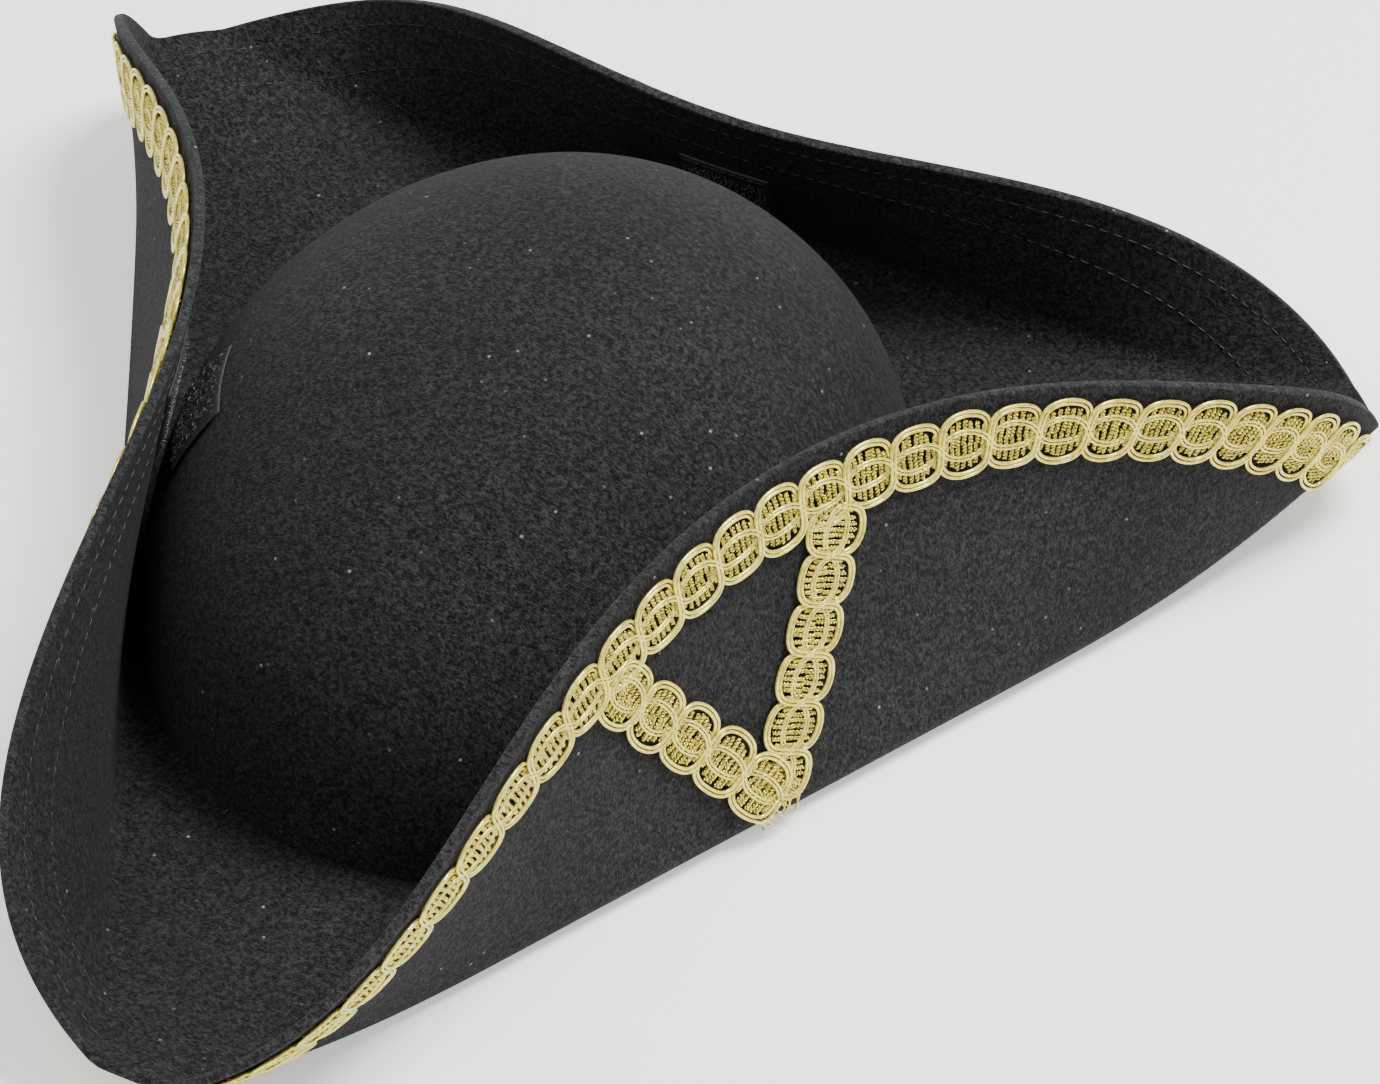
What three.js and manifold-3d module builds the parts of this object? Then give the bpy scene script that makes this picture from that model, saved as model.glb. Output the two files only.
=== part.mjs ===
// A felt tricorn hat: a domed crown on a wide brim whose three sides fold up along straight lines.
// Millimetres, +Z up. The origin is the middle of the head opening, on the brim's underside, and the
// front corner of the brim points towards -Y.
import * as THREE from 'three';
import { mergeVertices } from 'three/addons/utils/BufferGeometryUtils.js';
import Module from 'manifold-3d';

const wasm = await Module();
wasm.setup();

// ---- driving dimensions, in millimetres and degrees ----
const FELT = 2.5;                 // thickness of the pressed felt
const GAP = 0.35;                 // clearance kept between pieces that touch

const CROWN_HALF_WIDTH = 90.5;    // outside of the crown at its foot
const CROWN_HALF_LENGTH = 105;
const CROWN_HEIGHT = 93.5;
const CROWN_FULLNESS = 2.25;      // 2 is an ellipse in side view, more is squarer

const BLANK_HALF_WIDTH = 194.5;   // the brim as it was cut, before folding
const BLANK_HALF_LENGTH = 186.5;
const BLANK_SHIFT = 6;            // how far the brim's middle lies behind the crown's
const BLANK_CORNERS = 0.038;      // how much the cut circle swells towards its three corners

const SIDE_TURN = 28;             // the side folds' outward direction, forward of straight sideways
const SIDE_LEDGE = 0;             // flat felt between the crown's foot and the start of a side's bend
const SIDE_RADIUS = 4.8;          // bend radius in the middle of the felt
const SIDE_LEAN = 104.6;          // how far a side is turned up at its middle
const SIDE_LEAN_REARWARD = 12;    // change of lean over 100 mm towards the rear
const SIDE_LEAN_FLARE = -17;      // change of lean over 100 mm either way

const BACK_LEDGE = 19.7;
const BACK_RADIUS = 6.5;
const BACK_LEAN = 111;
const BACK_LEAN_FLARE = -33;

const FRONT_SPOUT_LIFT = 16;      // how far the front corner of the brim rises
const REAR_SPOUT_LIFT = 18;       // and each rear corner
const FRONT_SPOUT_SPREAD = 22;    // half width of that rise, as an angle about the crown
const REAR_SPOUT_SPREAD = 18;
const REAR_SPOUT_AT = 32;         // direction of the right rear corner
const SPOUT_START = 118;          // the brim is flat within this distance of the middle

const HINGE_OUTSIDE = 0.3;        // from the felt's outer face to the line a fold turns about
const FOLD_CUT = 50;              // angle round the bend at which the turning side begins
const END_GAP = 0.8;              // gap between a turning side's ends and the standing corners
const BACK_END_GAP = 3.2;         // wider on the back side, which also turns inwards

const BRAID_WIDTH = 17;
const BRAID_THICK = 1.6;
const BRAID_INSET = 2;            // bare felt between the brim's edge and the braid
const BRAID_OFF_FELT = 0.8;       // height of the sewing thread and knots under the braid
const V_REAR_TOP = 29;            // where the V's two lengths meet the edge braid, along the fold
const V_FRONT_TOP = -43;
const V_POINT = -3;               // where they meet each other, just above the fold
const V_POINT_RISE = 7;

const PATCH_WIDTH = 25;           // each hook or loop patch
const PATCH_HEIGHT = 20;
const PATCH_THICK = 1.2;
const SIDE_PATCH_BELOW_TOP = 20;  // from the crown's top down to the top of a patch
const BACK_PATCH_UP = 0.35;        // top of the back patch, as a share of the crown's height
const BACK_PATCH_ALONG = 9;       // the back patch sits this far to the left of the middle
const BACK_CLOSE = 20;            // turn that presses the back side in towards the crown

const BAND_HEIGHT = 26;           // the sweatband inside the crown
const BAND_THICK = 0.9;

// ---- finishes ----
const felt = () => new THREE.MeshStandardMaterial({ color: 0x1c1d21, roughness: 0.95, metalness: 0 });
const goldBraid = () => new THREE.MeshStandardMaterial({
  color: 0xd8c46a,
  roughness: 0.4,
  metalness: 0.7,
});
const fastener = () => new THREE.MeshStandardMaterial({ color: 0x101114, roughness: 0.6, metalness: 0 });
const bandCloth = () => new THREE.MeshStandardMaterial({ color: 0x141417, roughness: 0.8, metalness: 0 });

// ---- the brim's shape ----
const MIDDLE = FELT / 2;
const rad = THREE.MathUtils.degToRad;

// A side of the brim: the way it faces, the line along its fold, how it bends there, and how far
// it can still be turned inwards. Its fold lies a ledge's width outside the crown's foot.
function makeSide(name, facing, along, ledge, radius, lean, close) {
  const fold = Math.hypot(CROWN_HALF_WIDTH * facing[0], CROWN_HALF_LENGTH * facing[1]) + ledge;
  const cut = rad(FOLD_CUT);
  const turn = radius + FELT / 2 + HINGE_OUTSIDE;
  return {
    name,
    facing,
    along,
    fold,
    radius,
    lean,
    close,
    cutAt: fold + radius * cut,
    hinge: [
      facing[0] * (fold + turn * Math.sin(cut)),
      facing[1] * (fold + turn * Math.sin(cut)),
      MIDDLE + radius - turn * Math.cos(cut),
    ],
  };
}

const sideLean = (u) => SIDE_LEAN + SIDE_LEAN_REARWARD * (u / 100) + SIDE_LEAN_FLARE * (u / 100) ** 2;
const backLean = (u) => BACK_LEAN + BACK_LEAN_FLARE * (u / 100) ** 2;
const turnX = Math.cos(rad(SIDE_TURN));
const turnY = Math.sin(rad(SIDE_TURN));
const RIGHT = makeSide('right', [turnX, -turnY], [turnY, turnX], SIDE_LEDGE, SIDE_RADIUS, sideLean, 0);
const LEFT = makeSide('left', [-turnX, -turnY], [-turnY, turnX], SIDE_LEDGE, SIDE_RADIUS, sideLean, 0);
const BACK = makeSide('back', [0, 1], [1, 0], BACK_LEDGE, BACK_RADIUS, backLean, BACK_CLOSE);
const SIDES = [RIGHT, BACK, LEFT];

const across = (side, x, y) => x * side.facing[0] + y * side.facing[1];
const alongFold = (side, x, y) => x * side.along[0] + y * side.along[1];
const fromSide = (side, u, v) => [
  side.along[0] * u + side.facing[0] * v,
  side.along[1] * u + side.facing[1] * v,
];

// How much higher the brim lies at its three corners, which the folds squeeze into spouts.
function spoutLift(x, y) {
  const far = Math.hypot(x, y);
  if (far <= SPOUT_START) return 0;
  const rise = ((far - SPOUT_START) / (BLANK_HALF_WIDTH - SPOUT_START)) ** 2;
  const front = THREE.MathUtils.radToDeg(Math.atan2(Math.abs(x), -y));
  const rear = THREE.MathUtils.radToDeg(Math.atan2(y, Math.abs(x))) - REAR_SPOUT_AT;
  const swell = FRONT_SPOUT_LIFT * Math.exp(-((front / FRONT_SPOUT_SPREAD) ** 2))
    + REAR_SPOUT_LIFT * Math.exp(-((rear / REAR_SPOUT_SPREAD) ** 2));
  return rise * swell;
}

// Carries a point of the flat blank to its place in the folded brim, in the middle of the felt.
function foldedPoint(x, y) {
  const point = new THREE.Vector3(x, y, MIDDLE + spoutLift(x, y));
  for (const side of SIDES) {
    const past = across(side, x, y) - side.fold;
    if (past <= 0) continue;
    const lean = rad(side.lean(alongFold(side, x, y)));
    const bend = Math.min(past / side.radius, lean);
    const straight = past - side.radius * bend;
    const out = side.radius * Math.sin(bend) + straight * Math.cos(bend) - past;
    point.x += side.facing[0] * out;
    point.y += side.facing[1] * out;
    point.z += side.radius * (1 - Math.cos(bend)) + straight * Math.sin(bend);
  }
  return point;
}

// Distance of the blank's edge from the crown's middle, in a direction given as an angle.
function edgeDistance(angle) {
  const inside = (far) => {
    const x = far * Math.cos(angle);
    const y = far * Math.sin(angle) - BLANK_SHIFT;
    const swell = 1 + BLANK_CORNERS * Math.cos(3 * (Math.atan2(y, x) + Math.PI / 2));
    return Math.hypot(x / BLANK_HALF_WIDTH, y / BLANK_HALF_LENGTH) < swell;
  };
  return lastTrue(inside, 0, 2 * BLANK_HALF_WIDTH);
}

// The largest value between two others for which a test still holds, by halving.
const HALVINGS = 40;
function lastTrue(test, low, high) {
  for (let step = 0; step < HALVINGS; step += 1) {
    const half = (low + high) / 2;
    if (test(half)) low = half;
    else high = half;
  }
  return low;
}

const polar = (angle, far) => [far * Math.cos(angle), far * Math.sin(angle)];
const cutDistance = (side, angle) => side.cutAt / Math.cos(angle - side.middle);
const BRAID_DEPTH = BRAID_INSET + BRAID_WIDTH;

// A turning side ends where the edge braid would run off it on to the standing part.
for (const side of SIDES) {
  side.middle = Math.atan2(side.facing[1], side.facing[0]);
  const holdsBraid = (way) => (turned) => {
    const angle = side.middle + way * turned;
    const inner = edgeDistance(angle) - BRAID_DEPTH - 2 * GAP;
    return across(side, ...polar(angle, inner)) > side.cutAt + GAP;
  };
  side.start = side.middle - lastTrue(holdsBraid(-1), 0, Math.PI / 2);
  side.end = side.middle + lastTrue(holdsBraid(1), 0, Math.PI / 2);
  side.endGap = (side.close > 0 ? BACK_END_GAP : END_GAP) / BLANK_HALF_WIDTH;
  // a side that turns inwards pinches the felt's inner face shut, most where a spout lifts the fold
  const lift = Math.max(
    spoutLift(...polar(side.start, cutDistance(side, side.start))),
    spoutLift(...polar(side.end, cutDistance(side, side.end))),
  );
  const pinch = (FELT + HINGE_OUTSIDE + lift) * Math.sin(rad(side.close));
  side.cutGap = GAP + pinch * side.radius / (side.radius - FELT / 2);
}

// ---- solids ----
const STEP = 0.05;                // for measuring which way a surface faces

// The way a surface faces at a place, from two short steps along it.
function facingAt(surface, a, b) {
  const da = surface(a + STEP, b).sub(surface(a - STEP, b));
  const db = surface(a, b + STEP).sub(surface(a, b - STEP));
  return da.cross(db).normalize();
}

// A sheet of even thickness on a surface, from a grid of places on it. low and high are its two
// faces, as heights above the surface. A ring joins its last column to its first.
function sheetOn(surface, grid, low, high, ring = false) {
  const columns = grid.length;
  const rows = grid[0].length;
  const points = [];
  for (const height of [low, high]) {
    for (const column of grid) {
      for (const [a, b] of column) {
        const point = surface(a, b).addScaledVector(facingAt(surface, a, b), height);
        points.push(point.x, point.y, point.z);
      }
    }
  }
  const at = (face, i, j) => (face * columns + (i % columns)) * rows + j;
  const index = [];
  const quad = (a, b, c, d) => index.push(a, b, c, a, c, d);
  const spans = ring ? columns : columns - 1;
  for (let i = 0; i < spans; i += 1) {
    for (let j = 0; j < rows - 1; j += 1) {
      quad(at(1, i, j), at(1, i, j + 1), at(1, i + 1, j + 1), at(1, i + 1, j));
      quad(at(0, i, j), at(0, i + 1, j), at(0, i + 1, j + 1), at(0, i, j + 1));
    }
    quad(at(0, i, 0), at(1, i, 0), at(1, i + 1, 0), at(0, i + 1, 0));
    quad(at(0, i, rows - 1), at(0, i + 1, rows - 1), at(1, i + 1, rows - 1), at(1, i, rows - 1));
  }
  if (!ring) {
    const last = columns - 1;
    for (let j = 0; j < rows - 1; j += 1) {
      quad(at(0, 0, j), at(0, 0, j + 1), at(1, 0, j + 1), at(1, 0, j));
      quad(at(0, last, j), at(1, last, j), at(1, last, j + 1), at(0, last, j + 1));
    }
  }
  const geometry = new THREE.BufferGeometry();
  geometry.setAttribute('position', new THREE.Float32BufferAttribute(points, 3));
  geometry.setIndex(index);
  return facingOut(geometry);
}

// Turns a closed mesh's triangles over if they face inwards.
function facingOut(geometry) {
  const place = geometry.getAttribute('position');
  const index = geometry.getIndex();
  const corner = [new THREE.Vector3(), new THREE.Vector3(), new THREE.Vector3()];
  let volume = 0;
  for (let k = 0; k < index.count; k += 3) {
    corner.forEach((point, n) => point.fromBufferAttribute(place, index.getX(k + n)));
    volume += corner[0].dot(corner[1].clone().cross(corner[2]));
  }
  if (volume < 0) {
    const turned = [];
    for (let k = 0; k < index.count; k += 3) {
      turned.push(index.getX(k), index.getX(k + 2), index.getX(k + 1));
    }
    geometry.setIndex(turned);
  }
  return geometry;
}

const hat = new THREE.Group();
function add(name, geometry, material) {
  const mesh = new THREE.Mesh(geometry, material);
  mesh.name = name;
  hat.add(mesh);
}

// Evenly spaced shares from 0 to 1, both ends included.
const shares = (count) => Array.from({ length: count + 1 }, (_, k) => k / count);
const mix = THREE.MathUtils.lerp;

// ---- crown: a pressed felt dome standing on the brim ----
const FOOT = FELT + GAP;
const LENGTHEN = CROWN_HALF_LENGTH / CROWN_HALF_WIDTH;

// Half width of a dome at a height, for a dome of a given half width and height above the foot.
function domeHalfWidth(halfWidth, height, z) {
  return halfWidth * Math.max(0, 1 - (z / height) ** CROWN_FULLNESS) ** (1 / CROWN_FULLNESS);
}

// The dome's side view from foot to top, evenly turned so that the steep foot gets fewer points.
function domeProfile(halfWidth, height, from, count) {
  const start = Math.asin((from / height) ** (CROWN_FULLNESS / 2));
  return shares(count).map((share) => {
    const turned = mix(start, Math.PI / 2, share);
    const z = height * Math.sin(turned) ** (2 / CROWN_FULLNESS);
    return new THREE.Vector2(share === 1 ? 0 : domeHalfWidth(halfWidth, height, z), z);
  });
}

// Turns a profile about the vertical and stretches it front to back into the head's oval.
function ovalLathe(profile, around) {
  let geometry = new THREE.LatheGeometry(profile, around);
  geometry.rotateX(Math.PI / 2);
  geometry.scale(1, LENGTHEN, 1);
  geometry.deleteAttribute('normal');
  geometry.deleteAttribute('uv');
  geometry = mergeVertices(geometry, 1e-3);
  return facingOut(geometry);
}

const AROUND = 48;
const outside = domeProfile(CROWN_HALF_WIDTH, CROWN_HEIGHT, FOOT, 10);
const inside = domeProfile(CROWN_HALF_WIDTH - FELT, CROWN_HEIGHT - FELT, FOOT, 10);
add('crown', ovalLathe([...inside.reverse(), ...outside], AROUND), felt());

// ---- sweatband: a strip of cloth round the inside of the crown's foot ----
const bandFace = (inward) => shares(2).map((share) => {
  const z = mix(FOOT, FOOT + BAND_HEIGHT, share);
  const wall = domeHalfWidth(CROWN_HALF_WIDTH - FELT, CROWN_HEIGHT - FELT, z);
  return new THREE.Vector2(wall - inward, z);
});
const bandBack = bandFace(GAP);
const bandFront = bandFace(GAP + BAND_THICK).reverse();
add('sweatband', ovalLathe([...bandBack, ...bandFront, bandBack[0].clone()], AROUND), bandCloth());

// ---- brim base: the flat ring round the head opening, with the three corner spouts ----
const OPENING_HALF_WIDTH = CROWN_HALF_WIDTH - FELT;
const OPENING_HALF_LENGTH = OPENING_HALF_WIDTH * LENGTHEN;
const openingDistance = (angle) => 1 / Math.hypot(
  Math.cos(angle) / OPENING_HALF_WIDTH,
  Math.sin(angle) / OPENING_HALF_LENGTH,
);

// One column of the whole brim, from the head opening to the edge, with most of its places
// where the felt bends. A fold further round than the slant limit doesn't cross the column.
const SLANT_LIMIT = 0.3;
const LEAST_UPSTAND = 40;           // felt left beyond a fold, for placing a column's points
function brimColumn(angle) {
  const near = openingDistance(angle);
  const edge = edgeDistance(angle);
  const reaches = SIDES.map((side) => {
    const slant = Math.cos(angle - side.middle);
    if (slant < SLANT_LIMIT) return [Infinity, 0];
    return [side.fold / slant, side.radius * rad(side.lean(0)) / slant];
  });
  const [fold, bend] = reaches.reduce((first, reach) => (reach[0] < first[0] ? reach : first));
  const from = Math.max(Math.min(fold, edge - LEAST_UPSTAND), near + 2);
  const to = Math.min(from + bend, edge - LEAST_UPSTAND / 6);
  return [
    near,
    Math.min(SPOUT_START, mix(near, from, 0.5)),
    ...shares(6).map((share) => mix(from, to, share)),
    mix(to, edge, 0.5),
    edge,
  ].map((far) => polar(angle, far));
}

// Distances from the brim's edge at which strips of the edge braid begin and end.
const braidStrips = (strips) => shares(strips).map((step) => mix(BRAID_DEPTH, BRAID_INSET, step));

// Grid of the part of a side beyond its cut line, shrunk at its ends and at its cut. Its outer
// rows line up with the strips of the edge braid; the others are closer together near the cut.
const ROW_CROWDING = 1.5;
function sideGrid(side, endGap, cutGap, beyond, columns, rows) {
  return shares(columns).map((share) => {
    const angle = mix(side.start + endGap, side.end - endGap, share);
    const near = cutDistance(side, angle) + cutGap;
    const edge = edgeDistance(angle);
    return [
      ...shares(rows).map((step) => mix(near, edge - BRAID_DEPTH, step ** ROW_CROWDING)),
      ...braidStrips(2).map((inset) => edge - inset).slice(1),
      edge + beyond,
    ].map((far) => polar(angle, far));
  });
}

// The corner after each side, as the angle from that side's end to the next side's start.
const SIDE_COLUMNS = 20;
const SIDE_ROWS = 6;
const CORNER_COLUMNS = 12;
function cornerTurn(k) {
  const next = SIDES[(k + 1) % SIDES.length];
  return (next.start - SIDES[k].end + 4 * Math.PI) % (2 * Math.PI);
}

function toSolid(geometry) {
  return new wasm.Manifold(new wasm.Mesh({
    numProp: 3,
    vertProperties: new Float32Array(geometry.getAttribute('position').array),
    triVerts: new Uint32Array(geometry.getIndex().array),
  }));
}

function fromSolid(solid) {
  const mesh = solid.getMesh();
  const geometry = new THREE.BufferGeometry();
  geometry.setAttribute('position', new THREE.Float32BufferAttribute(mesh.vertProperties, 3));
  geometry.setIndex(new THREE.Uint32BufferAttribute(mesh.triVerts, 1));
  return geometry;
}

const CUTTER_PROUD = 4;             // how far a cutter stands out of the felt's faces and edge
const CUTTER_COLUMNS = 30;
const CUTTER_ROWS = 8;
const wholeBrim = SIDES.flatMap((side, k) => [
  ...shares(SIDE_COLUMNS).slice(1).map((share) => mix(side.start, side.end, share)),
  ...shares(CORNER_COLUMNS).slice(1).map((share) => side.end + share * cornerTurn(k)),
]).map(brimColumn);
let base = toSolid(sheetOn(foldedPoint, wholeBrim, -FELT / 2, FELT / 2, true));
for (const side of SIDES) {
  const grid = sideGrid(side, 0, -GAP / 2, CUTTER_PROUD, CUTTER_COLUMNS, CUTTER_ROWS);
  const reach = FELT / 2 + CUTTER_PROUD;
  base = base.subtract(toSolid(sheetOn(foldedPoint, grid, -reach, reach)));
}
add('brim_base', fromSolid(base), felt());

// ---- the three sides that turn up ----
for (const side of SIDES) {
  const grid = sideGrid(side, side.endGap, side.cutGap - GAP / 2, 0, SIDE_COLUMNS, SIDE_ROWS);
  add(`${side.name}_side`, sheetOn(foldedPoint, grid, -FELT / 2, FELT / 2), felt());
}

// ---- gold braid along the brim's edge, on the outer face ----
const BRAID_FACE = -(FELT / 2 + BRAID_OFF_FELT);
function edgeBraid(from, to, count, strips) {
  return shares(count).map((share) => {
    const angle = mix(from, to, share);
    const edge = edgeDistance(angle);
    return braidStrips(strips).map((inset) => polar(angle, edge - inset));
  });
}
const braidOn = (name, columns) => {
  add(name, sheetOn(foldedPoint, columns, BRAID_FACE - BRAID_THICK, BRAID_FACE), goldBraid());
};

for (const side of SIDES) {
  const columns = edgeBraid(side.start + side.endGap, side.end - side.endGap, SIDE_COLUMNS, 2);
  braidOn(`${side.name}_edge_braid`, columns);
}
const CORNERS = ['right_rear', 'left_rear', 'front'];
SIDES.forEach((side, k) => {
  const gap = END_GAP / BLANK_HALF_WIDTH;
  const stop = side.end + cornerTurn(k) - gap;
  braidOn(`${CORNERS[k]}_corner_braid`, edgeBraid(side.end + gap, stop, CORNER_COLUMNS, 4));
});

// ---- the V of braid on each of the two front sides ----
// The line's share at which it first meets the edge braid, for a line drawn from the V's point.
function untilEdgeBraid(side, from, to) {
  return lastTrue((share) => {
    const [x, y] = fromSide(side, mix(from[0], to[0], share), mix(from[1], to[1], share));
    return Math.hypot(x, y) < edgeDistance(Math.atan2(y, x)) - BRAID_DEPTH - 2 * GAP;
  }, 0, 1.5);
}

// A length of braid from the V's point up to the edge braid. Its two long edges are straight and
// each ends where it meets the edge braid; at the point they start where startShare says.
function braidArm(side, point, top, startShare) {
  const run = [top[0] - point[0], top[1] - point[1]];
  const length = Math.hypot(...run);
  const aside = [-run[1] / length, run[0] / length];
  return [-1, 1].map((edge) => {
    const shift = edge * BRAID_WIDTH / 2;
    const from = [point[0] + aside[0] * shift, point[1] + aside[1] * shift];
    const to = [top[0] + aside[0] * shift, top[1] + aside[1] * shift];
    const end = untilEdgeBraid(side, from, to);
    const start = startShare(from, to);
    return shares(12).map((share) => {
      const s = mix(start, end, share);
      return fromSide(side, mix(from[0], to[0], s), mix(from[1], to[1], s));
    });
  });
}

const onEdge = (side, u) => {
  const reach = (v) => {
    const [x, y] = fromSide(side, u, v);
    return Math.hypot(x, y) < edgeDistance(Math.atan2(y, x));
  };
  return lastTrue(reach, side.cutAt, 2 * BLANK_HALF_WIDTH);
};

for (const side of [RIGHT, LEFT]) {
  const point = [V_POINT, side.cutAt + V_POINT_RISE];
  const rearTop = [V_REAR_TOP, onEdge(side, V_REAR_TOP)];
  const frontTop = [V_FRONT_TOP, onEdge(side, V_FRONT_TOP)];
  const rearRun = [rearTop[0] - point[0], rearTop[1] - point[1]];
  const rearLength = Math.hypot(...rearRun);
  const beside = (u, v) => ((u - point[0]) * rearRun[1] - (v - point[1]) * rearRun[0]) / rearLength;
  const clear = -(BRAID_WIDTH / 2 + GAP);
  const buttsRearArm = (from, to) => {
    const a = beside(...from);
    const b = beside(...to);
    return (clear - a) / (b - a);
  };
  braidOn(`${side.name}_rear_v_braid`, braidArm(side, point, rearTop, () => 0));
  braidOn(`${side.name}_front_v_braid`, braidArm(side, point, frontTop, buttsRearArm));
}

// ---- hook patches on the sides' inner faces, and the loop patches they press on to ----
const PATCH_FACE = FELT / 2 + GAP;
const patchGrid = (side, along, height) => {
  const under = (v) => foldedPoint(...fromSide(side, along, v)).z < height;
  const top = lastTrue(under, side.cutAt, onEdge(side, along));
  return shares(4).map((p) => shares(3).map((q) => fromSide(
    side,
    along + mix(-PATCH_WIDTH / 2, PATCH_WIDTH / 2, p),
    top - PATCH_HEIGHT + PATCH_HEIGHT * q,
  )));
};

// The crown's outer face, from an angle round the head and a height, in steps of one millimetre.
function crownPoint(around, z) {
  const angle = around / CROWN_HALF_WIDTH;
  const half = domeHalfWidth(CROWN_HALF_WIDTH, CROWN_HEIGHT, z);
  return new THREE.Vector3(half * Math.cos(angle), half * LENGTHEN * Math.sin(angle), z);
}

// The place on the crown nearest to a point beside it, as distance round and height.
const FIRST_REACH = 16;             // steps tried round and up, halved until they are small enough
const LAST_REACH = 0.1;
function nearestOnCrown(target) {
  let best = [CROWN_HALF_WIDTH * Math.atan2(target.y / LENGTHEN, target.x), target.z];
  const lowest = FOOT + PATCH_HEIGHT / 2;
  const highest = CROWN_HEIGHT - PATCH_HEIGHT / 2;
  const away = (place) => crownPoint(...place).distanceTo(target);
  for (let reach = FIRST_REACH; reach > LAST_REACH; reach /= 2) {
    for (const [da, dz] of [[1, 0], [-1, 0], [0, 1], [0, -1]]) {
      const z = THREE.MathUtils.clamp(best[1] + dz * reach, lowest, highest);
      const tried = [best[0] + da * reach, z];
      if (away(tried) < away(best)) best = tried;
    }
  }
  return best;
}

// Turns a point about a side's hinge line; positive lets the side down.
function turned(side, point, degrees) {
  const axis = new THREE.Vector3(side.facing[0], side.facing[1], 0).cross(new THREE.Vector3(0, 0, -1));
  const hinge = new THREE.Vector3(...side.hinge);
  return point.clone().sub(hinge).applyAxisAngle(axis.normalize(), rad(degrees)).add(hinge);
}

const patchPlaces = [
  [RIGHT, 0, CROWN_HEIGHT - SIDE_PATCH_BELOW_TOP, 0],
  [LEFT, 0, CROWN_HEIGHT - SIDE_PATCH_BELOW_TOP, 0],
  [BACK, -BACK_PATCH_ALONG, CROWN_HEIGHT * BACK_PATCH_UP, -BACK_CLOSE],
];
for (const [side, along, height, closed] of patchPlaces) {
  const grid = patchGrid(side, along, height);
  const hooks = sheetOn(foldedPoint, grid, PATCH_FACE, PATCH_FACE + PATCH_THICK);
  add(`${side.name}_hook_patch`, hooks, fastener());
  const centre = turned(side, foldedPoint(...grid[2][1]).lerp(foldedPoint(...grid[2][2]), 0.5), closed);
  const [around, up] = nearestOnCrown(centre);
  const steep = crownPoint(around, up + 1).distanceTo(crownPoint(around, up));
  const wide = crownPoint(around + 1, up).distanceTo(crownPoint(around, up));
  const loopGrid = shares(4).map((p) => shares(3).map((q) => [
    around + mix(-PATCH_WIDTH / 2, PATCH_WIDTH / 2, p) / wide,
    up + mix(-PATCH_HEIGHT / 2, PATCH_HEIGHT / 2, q) / steep,
  ]));
  add(`${side.name}_loop_patch`, sheetOn(crownPoint, loopGrid, GAP, GAP + PATCH_THICK), fastener());
}

export default hat;
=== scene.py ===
from math import cos, pi, radians, sin

import bpy
import numpy as np
from mathutils import Matrix, Vector


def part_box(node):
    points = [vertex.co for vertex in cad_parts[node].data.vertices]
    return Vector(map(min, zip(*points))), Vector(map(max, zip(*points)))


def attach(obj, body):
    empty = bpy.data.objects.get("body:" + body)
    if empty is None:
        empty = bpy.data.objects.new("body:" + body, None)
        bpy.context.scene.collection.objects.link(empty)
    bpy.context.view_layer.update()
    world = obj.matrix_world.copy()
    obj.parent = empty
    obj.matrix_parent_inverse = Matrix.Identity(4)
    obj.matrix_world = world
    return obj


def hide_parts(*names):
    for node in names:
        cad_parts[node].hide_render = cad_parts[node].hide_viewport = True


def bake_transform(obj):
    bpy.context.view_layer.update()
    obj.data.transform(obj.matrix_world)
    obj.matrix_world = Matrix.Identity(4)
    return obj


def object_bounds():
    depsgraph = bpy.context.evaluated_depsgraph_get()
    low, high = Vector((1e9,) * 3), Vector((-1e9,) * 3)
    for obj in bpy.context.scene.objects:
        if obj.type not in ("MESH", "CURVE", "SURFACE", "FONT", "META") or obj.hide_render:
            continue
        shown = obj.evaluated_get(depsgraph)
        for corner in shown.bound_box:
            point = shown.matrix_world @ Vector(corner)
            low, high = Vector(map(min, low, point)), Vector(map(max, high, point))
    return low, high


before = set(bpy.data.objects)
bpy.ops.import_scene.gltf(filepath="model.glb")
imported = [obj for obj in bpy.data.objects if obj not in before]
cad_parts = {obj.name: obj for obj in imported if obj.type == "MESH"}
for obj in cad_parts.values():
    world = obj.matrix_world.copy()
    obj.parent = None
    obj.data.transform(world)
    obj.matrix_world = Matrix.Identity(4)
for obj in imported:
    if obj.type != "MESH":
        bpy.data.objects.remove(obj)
cad_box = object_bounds()
MM = 0.001

# ==== Camera ====
# A long lens about 1.3 m away looks down on the hat from the wearer's front left, so that the near
# side shows its outer face and the other two show their insides.
CAMERA_ROUND = radians(27.0)
CAMERA_UP = radians(44.06)
CAMERA_ROLL = radians(-0.92)
CAMERA_AWAY = 1.2968
CAMERA_AIM = Vector((0.0412, 0.0009, 0.0279))
LENS = 144.66

lens = bpy.data.cameras.new("studio_camera")
lens.lens = LENS
lens.sensor_width = 36
lens.clip_end = 20
camera = bpy.data.objects.new("studio_camera", lens)
bpy.context.collection.objects.link(camera)
backward = Vector((
    sin(CAMERA_ROUND) * cos(CAMERA_UP),
    -cos(CAMERA_ROUND) * cos(CAMERA_UP),
    sin(CAMERA_UP),
))
level = Vector((0, 0, 1)).cross(backward).normalized()
upward = backward.cross(level)
rolled = cos(CAMERA_ROLL) * level + sin(CAMERA_ROLL) * upward
upright = cos(CAMERA_ROLL) * upward - sin(CAMERA_ROLL) * level
turning = Matrix((rolled, upright, backward)).transposed()
camera.matrix_world = Matrix.Translation(CAMERA_AIM + backward * CAMERA_AWAY) @ turning.to_4x4()
bpy.context.scene.camera = camera

# ==== Studio: white sweep and soft boxes ====
# The hat stands on a white table that glows a little. One soft box hangs above and behind it on
# its right, a weak one fills from above the front, and the white room lifts the shadows.
WHITE = (0.93, 0.93, 0.93, 1)


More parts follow.
